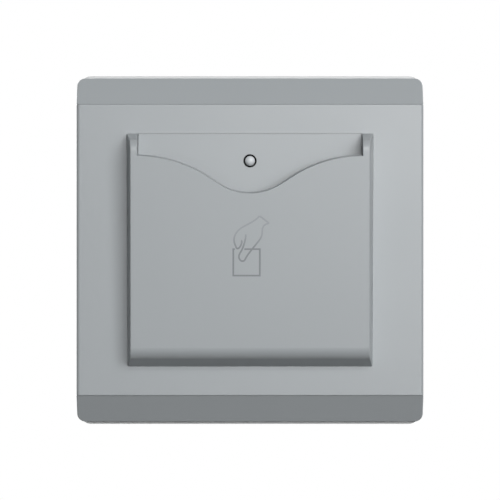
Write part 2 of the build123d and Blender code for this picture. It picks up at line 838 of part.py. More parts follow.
with BuildPart() as lever_spring:
    with BuildLine() as spring_line:
        Line(on_spring(0) - Vector(0, 0, spring_leg), on_spring(0))
        for quarter in range(4 * spring_turns):
            places = [on_spring((quarter + part) / 4) for part in (0, 0.5, 1)]
            ThreePointArc(*places)
        Line(on_spring(spring_turns), on_spring(spring_turns) + Vector(0, 0, spring_leg))
    with BuildSketch(Plane(origin=spring_line.line @ 0, z_dir=(0, 0, 1))):
        Circle(spring_wire / 2)
    sweep()
finish(lever_spring, "lever_spring")
wire_length = sum(edge.length for edge in spring_line.edges())
wire_volume = wire_length * pi * spring_wire**2 / 4
print("spring volume", lever_spring.part.volume, "wire section times length", wire_volume)


# Light pipe and the lamp behind it
lens_front = guide_front + lens_stand_out
dome_radius = (lens_radius**2 + lens_dome**2) / (2 * lens_dome)
led_top = board_front + led_flange + led_body + led_radius
pipe_axis = Axis((0, 0, indicator_height), (0, 1, 0))

with BuildPart() as light_pipe:
    with BuildSketch(Plane.YZ):
        with BuildLine():
            Polyline(
                (-lens_front, indicator_height + lens_radius),
                (-guide_skin_back, indicator_height + lens_radius),
                (-guide_skin_back, indicator_height + lens_collar_radius),
                (-guide_skin_back + lens_collar, indicator_height + lens_collar_radius),
                (-guide_skin_back + lens_collar, indicator_height + lens_radius),
                (-led_top - led_gap, indicator_height + lens_radius),
                (-led_top - led_gap, indicator_height),
                (-lens_front - lens_dome, indicator_height),
            )
            dome_middle = Vector(-lens_front - lens_dome + dome_radius, indicator_height)
            dome_rim = Vector(-lens_front, indicator_height + lens_radius)
            dome_way = (dome_rim - dome_middle + Vector(-dome_radius, 0)).normalized()
            ThreePointArc(
                (-lens_front - lens_dome, indicator_height), dome_middle + dome_way * dome_radius, dome_rim
            )
        make_face()
    revolve(axis=pipe_axis)
finish(light_pipe, "light_pipe")

led_lead_places = [(-led_lead_pitch / 2, indicator_height), (led_lead_pitch / 2, indicator_height)]
lead_length = board_thickness + lead_stand_out

with BuildPart() as indicator_lamp:
    with BuildSketch(Plane.YZ):
        with BuildLine():
            led_shoulder = -led_top + led_radius
            Polyline(
                (-led_top, indicator_height),
                (-board_front, indicator_height),
                (-board_front, indicator_height + led_flange_radius),
                (-board_front - led_flange, indicator_height + led_flange_radius),
                (-board_front - led_flange, indicator_height + led_radius),
                (led_shoulder, indicator_height + led_radius),
            )
            shoulder_point = (led_shoulder, indicator_height + led_radius)
            RadiusArc(shoulder_point, (-led_top, indicator_height), -led_radius)
        make_face()
    revolve(axis=pipe_axis)
    with BuildSketch(facing(board_front)):
        with Locations(led_lead_places):
            Circle(led_lead_radius)
    extrude(amount=-lead_length)
finish(indicator_lamp, "indicator_lamp")


# Microswitch: case, lid, plunger, blade and three terminals
switch_half = switch_width / 2
switch_inside_front = switch_front - switch_wall
switch_bottom = switch_top - switch_length
lid_side = switch_half - switch_wall
blade_pivot_height = switch_top - blade_pivot_from_end
contact_height = switch_bottom + contact_from_end
closed_plate_front = switch_inside_front - touch_gap
closed_button_back = closed_plate_front - contact_plate - contact_button
blade_front = closed_button_back - screw_gap - contact_button
blade_back = blade_front - blade_thickness
open_button_front = blade_back - contact_button - contact_travel - touch_gap
open_plate_front = open_button_front - contact_button
open_pin_height = switch_middle
closed_leg_height = switch_bottom + switch_wall + touch_gap + contact_plate / 2
pin_back = board_back - lead_stand_out
switch_pin_places = [(0, blade_pivot_height), (0, open_pin_height), (0, closed_leg_height)]

with BuildPart() as switch_case:
    with BuildSketch(across(-switch_half)):
        with Locations((-(switch_front + board_front) / 2, switch_middle)):
            Rectangle(switch_height, switch_length)
    extrude(amount=switch_half + lid_side)
    with BuildSketch(across(-lid_side)):
        with Locations((-(switch_front + board_front) / 2, switch_middle)):
            Rectangle(switch_height - 2 * switch_wall, switch_length - 2 * switch_wall)
    extrude(amount=2 * lid_side, mode=Mode.SUBTRACT)
    with BuildSketch(facing(switch_inside_front)):
        with Locations((0, plunger_height)):
            Circle(plunger_radius + running_gap)
    extrude(amount=switch_wall, mode=Mode.SUBTRACT)
    with BuildSketch(facing(board_front)):
        with Locations(switch_pin_places):
            Rectangle(switch_pin_width + 2 * touch_gap, contact_plate + 2 * touch_gap)
    extrude(amount=switch_wall, mode=Mode.SUBTRACT)
finish(switch_case, "switch_case")

with BuildPart() as switch_lid:
    with BuildSketch(across(lid_side)):
        with Locations((-(switch_front + board_front) / 2, switch_middle)):
            Rectangle(switch_height, switch_length)
    extrude(amount=switch_wall)
finish(switch_lid, "switch_lid")

with BuildPart() as switch_plunger:
    head_front = switch_inside_front - touch_gap
    with BuildSketch(facing(head_front)):
        with Locations((0, plunger_height)):
            Circle(plunger_radius)
    extrude(amount=plunger_tip - head_front)
    with BuildSketch(facing(head_front)):
        with Locations((0, plunger_height)):
            Circle(plunger_head_radius)
    extrude(amount=-plunger_head)
    with BuildSketch(facing(head_front - plunger_head)):
        with Locations((0, plunger_height)):
            Circle(plunger_nub_radius)
    extrude(amount=-plunger_nub)
finish(switch_plunger, "switch_plunger")

with BuildPart() as switch_blade:
    blade_top = blade_pivot_height + switch_pin_width / 2
    blade_bottom = switch_bottom + blade_end_gap
    with BuildSketch(facing(blade_back)):
        with Locations((0, (blade_top + blade_bottom) / 2)):
            Rectangle(blade_width, blade_top - blade_bottom)
    extrude(amount=blade_thickness)
    with BuildSketch(facing(blade_back - contact_button)):
        with Locations((0, contact_height)):
            Circle(contact_radius)
    extrude(amount=blade_thickness + 2 * contact_button)
finish(switch_blade, "switch_blade")

with BuildPart() as common_terminal:
    with BuildSketch(facing(pin_back)):
        with Locations((0, blade_pivot_height)):
            Rectangle(switch_pin_width, contact_plate)
    extrude(amount=blade_back - touch_gap - pin_back)
finish(common_terminal, "common_terminal")

with BuildPart() as open_terminal:
    open_end = contact_height - contact_radius
    open_top = open_pin_height + contact_plate / 2
    with BuildSketch(facing(open_plate_front - contact_plate)):
        with Locations((0, (open_end + open_top) / 2)):
            Rectangle(contact_plate_width, open_top - open_end)
    extrude(amount=contact_plate)
    with BuildSketch(facing(open_plate_front)):
        with Locations((0, contact_height)):
            Circle(contact_radius)
    extrude(amount=contact_button)
    with BuildSketch(facing(pin_back)):
        with Locations((0, open_pin_height)):
            Rectangle(switch_pin_width, contact_plate)
    extrude(amount=open_plate_front - contact_plate - pin_back)
finish(open_terminal, "open_terminal")

with BuildPart() as closed_terminal:
    closed_top = contact_height + contact_radius
    closed_bottom = closed_leg_height - contact_plate / 2
    with BuildSketch(facing(closed_plate_front - contact_plate)):
        with Locations((0, (closed_top + closed_bottom) / 2)):
            Rectangle(contact_plate_width, closed_top - closed_bottom)
    extrude(amount=contact_plate)
    with BuildSketch(facing(closed_button_back)):
        with Locations((0, contact_height)):
            Circle(contact_radius)
    extrude(amount=contact_button)
    with BuildSketch(facing(pin_back)):
        with Locations((0, closed_leg_height)):
            Rectangle(switch_pin_width, contact_plate)
    extrude(amount=closed_plate_front - contact_plate - pin_back)
finish(closed_terminal, "closed_terminal")


# Parts on the board: leaded bodies lie on it, and their leads pass through it
def standing_leads(centre, pitch):
    """Two lead places, either side of a centre, side by side."""
    x, z = centre
    return [(x - pitch / 2, z), (x + pitch / 2, z)]


def lying_leads(centre, length):
    """Two lead places, above and below a body that lies upright on the board."""
    x, z = centre
    reach = length / 2 + lead_reach
    return [(x, z - reach), (x, z + reach)]


relay_x, relay_z, relay_deep = relay_size
film_x, film_z, film_deep = film_size
relay_centre = (
    -board_width / 2 + relay_from_side + relay_x / 2,
    board_screw_z - screw_head_radius - relay_from_screws - relay_z / 2,
)
relay_bottom = relay_centre[1] - relay_z / 2
film_centre = (
    board_width / 2 - film_from_side - film_x / 2,
    board_screw_z - screw_head_radius - film_from_screws - film_z / 2,
)
can_centre = (
    board_width / 2 - can_from_side - can_radius,
    film_centre[1] - film_z / 2 - can_from_film - can_radius,
)
varistor_centre = (
    -board_width / 2 + varistor_from_side + varistor_radius,
    relay_bottom - varistor_from_relay - varistor_thickness / 2,
)
resistor_centre = (-board_width / 2 + resistor_from_side, relay_bottom - resistor_below_relay)
relay_pin_x = relay_x / 2 - relay_pin_inset
relay_pin_z = relay_z / 2 - relay_pin_inset
relay_pin_places = [(relay_centre[0] + x, relay_centre[1] + z) for x, z in corners(relay_pin_x, relay_pin_z)]
film_lead_places = standing_leads(film_centre, film_x - 2 * film_lead_inset)
can_lead_places = standing_leads(can_centre, can_lead_pitch)
varistor_lead_places = standing_leads(varistor_centre, varistor_lead_pitch)
resistor_lead_places = standing_leads(resistor_centre, resistor_length + 2 * lead_reach)
diode_centres = [(diode_first[0] + i * diode_step, diode_first[1]) for i in range(diode_count)]
diode_lead_places = [place for centre in diode_centres for place in lying_leads(centre, diode_length)]
zener_lead_places = lying_leads(zener_centre, zener_length)
transistor_lead_places = [
    (transistor_centre[0], transistor_centre[1] + step * transistor_lead_pitch) for step in (-1, 0, 1)
]
thin_lead_places = (
    relay_pin_places + film_lead_places + can_lead_places + varistor_lead_places
    + resistor_lead_places + diode_lead_places + zener_lead_places + transistor_lead_places + led_lead_places
)
block_bottom = -(housing_height / 2 - housing_wall) + terminal_floor_gap
block_middle = block_bottom + terminal_height / 2
terminal_places = [
    ((i - (terminal_count - 1) / 2) * terminal_pitch, block_middle) for i in range(terminal_count)
]
cage_front = board_back - cage_stand_off
cage_back = cage_front - cage_depth
wire_depth = cage_front - cage_depth / 2

with BuildPart() as circuit_board:
    with BuildSketch(facing(board_back)):
        RectangleRounded(board_width, board_height, board_corner)
        with Locations(board_screw_places):
            Circle(screw_clear_radius, mode=Mode.SUBTRACT)
        with Locations(thin_lead_places):
            Circle(lead_radius + lead_hole_gap, mode=Mode.SUBTRACT)
        with Locations(switch_pin_places + terminal_places):
            Circle(switch_pin_width / 2 + lead_hole_gap, mode=Mode.SUBTRACT)
    extrude(amount=board_thickness)
finish(circuit_board, "circuit_board")

board_screws = slotted_screws(
    board_back - screw_head, board_thickness + board_screw_bite, board_screw_places
)
finish(board_screws, "board_screws")

relay_foot = board_back - part_stand_off
with BuildPart() as relay_base:
    with BuildSketch(facing(relay_foot)):
        with Locations(relay_centre):
            rim = relay_case_wall + touch_gap
            Rectangle(relay_x - 2 * rim, relay_z - 2 * rim)
    extrude(amount=-relay_base_thickness)
    with BuildSketch(facing(relay_foot)):
        with Locations(relay_pin_places):
            Circle(lead_radius)
    extrude(amount=part_stand_off + lead_length)
finish(relay_base, "relay_base")

with BuildPart() as relay_case:
    with BuildSketch(facing(board_back)):
        with Locations(relay_centre):
            RectangleRounded(relay_x, relay_z, relay_case_wall)
    extrude(amount=-relay_deep)
    with BuildSketch(facing(board_back)):
        with Locations(relay_centre):
            Rectangle(relay_x - 2 * relay_case_wall, relay_z - 2 * relay_case_wall)
    extrude(amount=-(relay_deep - relay_case_wall), mode=Mode.SUBTRACT)
finish(relay_case, "relay_case")

with BuildPart() as relay_coil:
    with BuildSketch(facing(relay_foot - relay_base_thickness)):
        with Locations(relay_centre):
            Circle(relay_coil_radius)
    extrude(amount=-relay_coil_length)
finish(relay_coil, "relay_coil")

with BuildPart() as film_capacitor:
    with BuildSketch(facing(relay_foot)):
        with Locations(film_centre):
            RectangleRounded(film_x, film_z, film_round)
    extrude(amount=-film_deep)
    with BuildSketch(facing(relay_foot)):
        with Locations(film_lead_places):
            Circle(lead_radius)
    extrude(amount=part_stand_off + lead_length)
finish(film_capacitor, "film_capacitor")

with BuildPart() as smoothing_capacitor:
    with BuildSketch(facing(relay_foot)):
        with Locations(can_centre):
            Circle(can_radius)
    extrude(amount=-can_height)
    with BuildSketch(facing(relay_foot)):
        with Locations(can_lead_places):
            Circle(lead_radius)
    extrude(amount=part_stand_off + lead_length)
finish(smoothing_capacitor, "smoothing_capacitor")

with BuildPart() as varistor:
    disc_x, disc_z = varistor_centre
    disc_depth = relay_foot - varistor_radius
    with BuildSketch(Plane.XY.offset(disc_z - varistor_thickness / 2)):
        with Locations((disc_x, -disc_depth)):
            Circle(varistor_radius)
    extrude(amount=varistor_thickness)
    with BuildSketch(facing(disc_depth)):
        with Locations(varistor_lead_places):
            Circle(lead_radius)
    extrude(amount=varistor_radius + part_stand_off + lead_length)
finish(varistor, "varistor")


def lying_part(centres, radius, length, leads, upright):
    """Round bodies that lie on the board's front, each with its two bent leads."""
    axis_depth = board_front + part_stand_off + radius
    with BuildPart() as bodies:
        for x, z in centres:
            plane = Plane.XY.offset(z - length / 2) if upright else Plane.YZ.offset(x - length / 2)
            with BuildSketch(plane):
                with Locations((x, -axis_depth) if upright else (-axis_depth, z)):
                    Circle(radius)
            extrude(amount=length)
        for x, z in leads:
            centre_x, centre_z = min(centres, key=lambda place: abs(place[0] - x) + abs(place[1] - z))
            with BuildSketch(facing(axis_depth + lead_radius)):
                with Locations(((x + centre_x) / 2, (z + centre_z) / 2)):
                    span = 2 * lead_radius
                    Rectangle(abs(x - centre_x) + span, abs(z - centre_z) + span)
            extrude(amount=-span)
            with BuildSketch(facing(axis_depth)):
                with Locations((x, z)):
                    Circle(lead_radius)
            extrude(amount=-(axis_depth - board_front + lead_length))
    return bodies


rectifier_diodes = lying_part(diode_centres, diode_radius, diode_length, diode_lead_places, True)
finish(rectifier_diodes, "rectifier_diodes")

zener_diode = lying_part([zener_centre], zener_radius, zener_length, zener_lead_places, True)
finish(zener_diode, "zener_diode")

dropper_resistor = lying_part(
    [resistor_centre], resistor_radius, resistor_length, resistor_lead_places, False
)
finish(dropper_resistor, "dropper_resistor")

with BuildPart() as transistor:
    with BuildSketch(facing(board_front + part_stand_off)):
        with Locations(transistor_centre):
            Circle(transistor_radius)
        with Locations((transistor_centre[0] + transistor_flat + transistor_radius, transistor_centre[1])):
            Rectangle(2 * transistor_radius, 2 * transistor_radius, mode=Mode.SUBTRACT)
    extrude(amount=transistor_height)
    with BuildSketch(facing(board_front + part_stand_off)):
        with Locations(transistor_lead_places):
            Circle(lead_radius)
    extrude(amount=-(part_stand_off + lead_length))
finish(transistor, "transistor")


# Terminal block with its clamping cages and screws
block_back = housing_inside + terminal_back_gap
clamp_tip = wire_depth - wire_radius - cage_gap
clamp_head_front = clamp_tip - clamp_screw_length

with BuildPart() as terminal_block:
    with BuildSketch(facing(block_back)):
        with Locations((0, block_middle)):
            Rectangle(block_width, terminal_height)
    extrude(amount=board_back - block_back)
    with BuildSketch(facing(cage_back - cage_gap)):
        with Locations(terminal_places):
            Rectangle(cage_width + 2 * cage_gap, cage_height + 2 * cage_gap)
    extrude(amount=board_back - cage_back + cage_gap, mode=Mode.SUBTRACT)
    with BuildSketch(facing(block_back)):
        with Locations(terminal_places):
            Circle(clamp_head_radius + seat_gap)
    extrude(amount=cage_back - cage_gap - block_back, mode=Mode.SUBTRACT)
    with BuildSketch(Plane.XY.offset(block_bottom)):
        with Locations([(x, -wire_depth) for x, z in terminal_places]):
            Circle(wire_radius)
    extrude(amount=(terminal_height - cage_height) / 2, mode=Mode.SUBTRACT)
finish(terminal_block, "terminal_block")

with BuildPart() as terminal_cages:
    with BuildSketch(facing(cage_back)):
        with Locations(terminal_places):
            Rectangle(cage_width, cage_height)
    extrude(amount=cage_depth)
    with BuildSketch(Plane.XY.offset(block_bottom)):
        with Locations([(x, -wire_depth) for x, z in terminal_places]):
            Circle(wire_radius)
    extrude(amount=terminal_height, mode=Mode.SUBTRACT)
    with BuildSketch(facing(cage_back)):
        with Locations(terminal_places):
            Circle(clamp_screw_radius + screw_gap)
    extrude(amount=cage_depth / 2, mode=Mode.SUBTRACT)
    with BuildSketch(facing(cage_front)):
        with Locations(terminal_places):
            Rectangle(tag_width, tag_width / 2)
    extrude(amount=cage_stand_off + lead_length - lead_stand_out / 2)
finish(terminal_cages, "terminal_cages")

with BuildPart() as terminal_screws:
    for x, z in terminal_places:
        with BuildSketch(facing(clamp_head_front)):
            with Locations((x, z)):
                Circle(clamp_screw_radius)
        extrude(amount=clamp_screw_length)
        with BuildSketch(facing(clamp_head_front)):
            with Locations((x, z)):
                Circle(clamp_head_radius)
        extrude(amount=-clamp_head)
        with BuildSketch(facing(clamp_head_front - clamp_head)):
            with Locations((x, z)):
                Rectangle(2 * (clamp_head_radius + cut_overrun), clamp_slot_width)
        extrude(amount=clamp_slot_depth, mode=Mode.SUBTRACT)
finish(terminal_screws, "terminal_screws")


# Rear housing: sits in the wall box, open to the terminals' wires and screws
with BuildPart() as rear_housing:
    with BuildSketch(facing(0)):
        RectangleRounded(housing_width, housing_height, housing_corner)
    extrude(amount=-housing_depth)
    fillet(rear_housing.faces().sort_by(Axis.Y)[-1].edges(), housing_back_round)
    with BuildSketch(facing(0)):
        RectangleRounded(housing_flange_width, housing_flange_height, housing_corner)
    extrude(amount=-housing_flange)
    with BuildSketch(facing(0)):
        Rectangle(housing_width - 2 * housing_wall, housing_height - 2 * housing_wall)
    extrude(amount=housing_inside, mode=Mode.SUBTRACT)
    with BuildSketch(facing(0)):
        with Locations(housing_screw_places):
            Circle(screw_clear_radius)
    extrude(amount=-housing_flange, mode=Mode.SUBTRACT)
    with BuildSketch(facing(housing_inside)):
        with Locations(terminal_places):
            Circle(driver_hole_radius)
    extrude(amount=-housing_wall, mode=Mode.SUBTRACT)
    with BuildSketch(Plane.XY.offset(-housing_height / 2)):
        with Locations([(x, -wire_depth) for x, z in terminal_places]):
            Circle(wire_radius)
    extrude(amount=housing_wall, mode=Mode.SUBTRACT)
finish(rear_housing, "rear_housing")

housing_screws = slotted_screws(
    -housing_flange - screw_head, housing_flange + housing_screw_bite, housing_screw_places
)
finish(housing_screws, "housing_screws")
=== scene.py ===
import json
import math

import bmesh
import bpy
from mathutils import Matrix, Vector


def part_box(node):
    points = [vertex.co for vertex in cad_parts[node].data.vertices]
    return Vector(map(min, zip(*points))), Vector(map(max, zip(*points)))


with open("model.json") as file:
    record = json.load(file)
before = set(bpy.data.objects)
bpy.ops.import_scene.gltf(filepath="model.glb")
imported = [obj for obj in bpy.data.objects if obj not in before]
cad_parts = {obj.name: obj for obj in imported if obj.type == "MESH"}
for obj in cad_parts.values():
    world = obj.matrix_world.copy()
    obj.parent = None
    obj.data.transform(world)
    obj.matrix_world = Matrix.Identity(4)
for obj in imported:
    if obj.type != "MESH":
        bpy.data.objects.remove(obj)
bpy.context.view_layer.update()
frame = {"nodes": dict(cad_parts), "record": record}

nodes = frame["nodes"]
MM = 0.001


# Steps that the materials share
def set_inputs(node, values):
    """Fills a node's sockets by name."""
    for label, value in values.items():
        node.inputs[label].default_value = value


def object_place(tree):
    """Where a point lies on the object, in metres."""
    return tree.nodes.new("ShaderNodeTexCoord").outputs["Object"]


def along_axes(tree):
    """The X, Y and Z of a point on the object."""
    split = tree.nodes.new("ShaderNodeSeparateXYZ")
    tree.links.new(object_place(tree), split.inputs[0])
    return split.outputs


def combine(tree, operation, a, b, clamp=False):
    """One Math node, whose two values are sockets or numbers."""
    node = tree.nodes.new("ShaderNodeMath")
    node.operation = operation
    node.use_clamp = clamp
    for socket, value in zip(node.inputs, (a, b)):
        if isinstance(value, (int, float)):
            socket.default_value = value
        else:
            tree.links.new(value, socket)
    return node.outputs[0]


def noise(tree, place, scale, detail=2.0, rough=0.5):
    """A noise between 0 and 1; its scale is a number or a socket."""
    texture = tree.nodes.new("ShaderNodeTexNoise")
    set_inputs(texture, {"Detail": detail, "Roughness": rough})
    tree.links.new(place, texture.inputs["Vector"])
    if isinstance(scale, (int, float)):
        texture.inputs["Scale"].default_value = scale
    else:
        tree.links.new(scale, texture.inputs["Scale"])
    return texture.outputs["Fac"]


def spread_about_one(tree, value, amount):
    """Turns a noise value round 0.5 into a factor round 1."""
    return combine(tree, "ADD", combine(tree, "MULTIPLY", combine(tree, "SUBTRACT", value, 0.5), amount), 1.0)


def tinted(tree, colour, factor):
    """The colour times a factor."""
    scaled = tree.nodes.new("ShaderNodeVectorMath")
    scaled.operation = "SCALE"
    tree.links.new(colour, scaled.inputs[0])
    tree.links.new(factor, scaled.inputs["Scale"])
    return scaled.outputs[0]


def mix_colour(tree, mask, plain, other):
    """The plain colour, turned to the other where the mask is one; each is a socket or three numbers."""
    mix = tree.nodes.new("ShaderNodeMix")
    mix.data_type = "RGBA"
    tree.links.new(mask, mix.inputs["Factor"])
    for label, colour in (("A", plain), ("B", other)):
        if isinstance(colour, tuple):
            mix.inputs[label].default_value = (*colour, 1)
        else:
            tree.links.new(colour, mix.inputs[label])
    return mix.outputs["Result"]


def map_range(tree, value, start, end, first=0.0, last=1.0, shape="LINEAR"):
    """Runs from first to last while the value runs from start to end."""
    node = tree.nodes.new("ShaderNodeMapRange")
    node.interpolation_type = shape
    set_inputs(node, {"From Min": start, "From Max": end, "To Min": first, "To Max": last})
    tree.links.new(value, node.inputs["Value"])
    return node.outputs["Result"]


def between(tree, value, low, high, soft):
    """A mask that is one while the value lies between two limits."""
    rise = map_range(tree, value, low - soft, low)
    fall = map_range(tree, value, high, high + soft, 1.0, 0.0)
    return combine(tree, "MULTIPLY", rise, fall)


def distance_from(tree, centre, axes):
    """Distance from a place, counting only the axes that are one."""
    vector = object_place(tree)
    for operation, amount in (("SUBTRACT", centre), ("MULTIPLY", axes)):
        step = tree.nodes.new("ShaderNodeVectorMath")
        step.operation = operation
        step.inputs[1].default_value = amount
        tree.links.new(vector, step.inputs[0])
        vector = step.outputs["Vector"]
    reach = tree.nodes.new("ShaderNodeVectorMath")
    reach.operation = "LENGTH"
    tree.links.new(vector, reach.inputs[0])
    return reach.outputs["Value"]


# Shader node groups: each puts out only a colour, a roughness and a height
def new_group(name, inputs):
    """A shader node group with named inputs, and the sockets at both of its ends, seen from inside."""
    group = bpy.data.node_groups.new(name, "ShaderNodeTree")
    for label, kind, default in inputs:
        socket = group.interface.new_socket(label, in_out="INPUT", socket_type=kind)
        socket.default_value = default
    group.interface.new_socket("Colour", in_out="OUTPUT", socket_type="NodeSocketColor")
    for label in ("Roughness", "Height"):
        group.interface.new_socket(label, in_out="OUTPUT", socket_type="NodeSocketFloat")
    entry = group.nodes.new("NodeGroupInput")
    result = group.nodes.new("NodeGroupOutput")
    return group, entry.outputs, result.inputs


def moulded_surface():
    """Moulded plastic: slow tone changes from the flow, fine texture from the tool."""
    group, given, result = new_group(
        "moulded_surface",
        [("Colour", "NodeSocketColor", (0.5, 0.5, 0.5, 1)), ("Tone Spread", "NodeSocketFloat", 0.06),
         ("Roughness", "NodeSocketFloat", 0.4), ("Roughness Spread", "NodeSocketFloat", 0.1),
         ("Grain Scale", "NodeSocketFloat", 2600.0)],
    )
    place = object_place(group)
    flow = noise(group, place, scale=38.0, detail=3.0, rough=0.55)
    grain = noise(group, place, scale=given["Grain Scale"], detail=2.0, rough=0.6)
    flow_share = 0.7
    tone = combine(group, "ADD", combine(group, "MULTIPLY", flow, flow_share),
                   combine(group, "MULTIPLY", grain, 1.0 - flow_share))
    factor = spread_about_one(group, tone, given["Tone Spread"])
    group.links.new(tinted(group, given["Colour"], factor), result["Colour"])
    rough = combine(group, "MULTIPLY", combine(group, "SUBTRACT", flow, 0.5), given["Roughness Spread"])
    group.links.new(combine(group, "ADD", rough, given["Roughness"], clamp=True), result["Roughness"])
    group.links.new(grain, result["Height"])
    return group


def drawn_metal():
    """Plated or drawn metal: fine lines along one axis, and slow tarnish."""
    group, given, result = new_group(
        "drawn_metal",
        [("Colour", "NodeSocketColor", (0.6, 0.6, 0.6, 1)),
         ("Tarnish", "NodeSocketColor", (0.4, 0.38, 0.35, 1)),
         ("Tarnish Amount", "NodeSocketFloat", 0.3), ("Roughness", "NodeSocketFloat", 0.3)],
    )
    place = object_place(group)
    stretch = group.nodes.new("ShaderNodeMapping")
    stretch.inputs["Scale"].default_value = (1.0, 0.08, 1.0)
    group.links.new(place, stretch.inputs["Vector"])
    lines = noise(group, stretch.outputs[0], scale=5200.0, detail=2.0, rough=0.6)
    patches = noise(group, place, scale=420.0, detail=4.0, rough=0.6)
    patch_contrast = 2.2
    mask = combine(group, "MULTIPLY", combine(group, "POWER", patches, patch_contrast),
                   given["Tarnish Amount"], clamp=True)
    group.links.new(mix_colour(group, mask, given["Colour"], given["Tarnish"]), result["Colour"])
    line_roughness = 0.14
    tarnish_roughness = 0.25
    rough = combine(group, "MULTIPLY", lines, line_roughness)
    rough = combine(group, "ADD", rough, given["Roughness"], clamp=True)
    rough = combine(group, "ADD", rough, combine(group, "MULTIPLY", mask, tarnish_roughness))
    group.links.new(rough, result["Roughness"])
    group.links.new(lines, result["Height"])
    return group


moulded = moulded_surface()
metal = drawn_metal()


# Materials
def material_with(name, group, values, bump_strength, bump_distance, metallic=0.0):
    """A material whose colour, roughness and relief come from one group."""
    material = bpy.data.materials.new(name)
    material.use_nodes = True
    tree = material.node_tree
    shader = tree.nodes["Principled BSDF"]
    shader.inputs["Metallic"].default_value = metallic
    surface = tree.nodes.new("ShaderNodeGroup")
    surface.node_tree = group
    set_inputs(surface, values)
    tree.links.new(surface.outputs["Colour"], shader.inputs["Base Color"])
    tree.links.new(surface.outputs["Roughness"], shader.inputs["Roughness"])
    bump = tree.nodes.new("ShaderNodeBump")
    set_inputs(bump, {"Strength": bump_strength, "Distance": bump_distance})
    tree.links.new(surface.outputs["Height"], bump.inputs["Height"])
    tree.links.new(bump.outputs["Normal"], shader.inputs["Normal"])
    return material


def plastic(name, colour, roughness=0.4, tone=0.06, grain=2600.0, bump=0.12):
    """Moulded plastic of one colour."""
    values = {"Colour": (*colour, 1), "Tone Spread": tone, "Roughness": roughness, "Grain Scale": grain}
    return material_with(name, moulded, values, bump_strength=bump, bump_distance=0.03 * MM)


def plated(name, colour, tarnish, amount=0.3, roughness=0.28):
    """Plated or bare metal that tarnishes towards another colour."""
    values = {"Colour": (*colour, 1), "Tarnish": (*tarnish, 1)}
    values |= {"Tarnish Amount": amount, "Roughness": roughness}
    return material_with(name, metal, values, bump_strength=0.1, bump_distance=0.02 * MM, metallic=1.0)


def colour_in(material):
    """The colour that already feeds a material's shader."""
    return material.node_tree.nodes["Principled BSDF"].inputs["Base Color"].links[0].from_socket


def winding_material():
    """Enamelled copper wire, wound side by side along the coil."""
    material = plastic("copper_winding", (0.42, 0.13, 0.035), roughness=0.3, tone=0.1)
    tree = material.node_tree
    wire = tree.nodes.new("ShaderNodeTexWave")
    wire.bands_direction = "Y"
    wire.inputs["Scale"].default_value = 900.0
    tree.links.new(object_place(tree), wire.inputs["Vector"])
    bump = tree.nodes["Principled BSDF"].inputs["Normal"].links[0].from_node
    set_inputs(bump, {"Strength": 0.8, "Distance": 0.1 * MM})
    tree.links.new(wire.outputs["Fac"], bump.inputs["Height"])
    return material


def board_material():
    """Green solder mask, paler where copper tracks lie under it."""
    material = plastic("solder_mask_board", (0.012, 0.13, 0.05), roughness=0.25, tone=0.08)
    tree = material.node_tree
    turned = tree.nodes.new("ShaderNodeMapping")
    turned.inputs["Rotation"].default_value = (math.radians(90), 0, 0)
    tree.links.new(object_place(tree), turned.inputs["Vector"])
    tracks = tree.nodes.new("ShaderNodeTexBrick")
    tracks.offset = 0.37
    set_inputs(tracks, {"Scale": 110.0, "Mortar Size": 0.11, "Mortar Smooth": 0.2})
    set_inputs(tracks, {"Color1": (0.010, 0.11, 0.042, 1), "Color2": (0.012, 0.13, 0.05, 1)})
    set_inputs(tracks, {"Mortar": (0.03, 0.24, 0.085, 1)})
    tree.links.new(turned.outputs[0], tracks.inputs["Vector"])
    tree.links.new(tracks.outputs["Color"], tree.nodes["Principled BSDF"].inputs["Base Color"])
    return material


def satin_grey(name):
    """The smooth silver grey of the frame, the panel, the card guide and the pocket."""
    return plastic(name, (0.345, 0.370, 0.385), roughness=0.30, tone=0.03, grain=5200.0, bump=0.05)


def marked_cover_material():
    """The pocket's grey, with thin dark paint left in the grooves of the pictogram."""
    face_depth = 16.0 * MM
    face_lean = 2.0 / 57.6
    sunk_from, sunk_to, sunk_soft = 0.05 * MM, 0.3 * MM, 0.03 * MM
    mark_left, mark_right, mark_soft = -7.0 * MM, 9.0 * MM, 0.1 * MM
    mark_bottom, mark_top = -9.0 * MM, 12.0 * MM
    card_until, hand_from = 0.5 * MM, 4.0 * MM
    card_paint, hand_paint = 0.72, 0.30
    paint_colour = (0.14, 0.155, 0.165)
    material = satin_grey("satin_grey_marked")
    tree = material.node_tree
    x, y, z = along_axes(tree)
    face = combine(tree, "ADD", combine(tree, "MULTIPLY", z, face_lean), face_depth)
    sunk = between(tree, combine(tree, "ADD", face, y), sunk_from, sunk_to, sunk_soft)
    field = combine(tree, "MULTIPLY", between(tree, z, mark_bottom, mark_top, mark_soft),
                    between(tree, x, mark_left, mark_right, mark_soft))
    strength = map_range(tree, z, card_until, hand_from, card_paint, hand_paint)
    paint = combine(tree, "MULTIPLY", combine(tree, "MULTIPLY", sunk, field), strength)
    painted = mix_colour(tree, paint, colour_in(material), paint_colour)
    tree.links.new(painted, tree.nodes["Principled BSDF"].inputs["Base Color"])
    return material


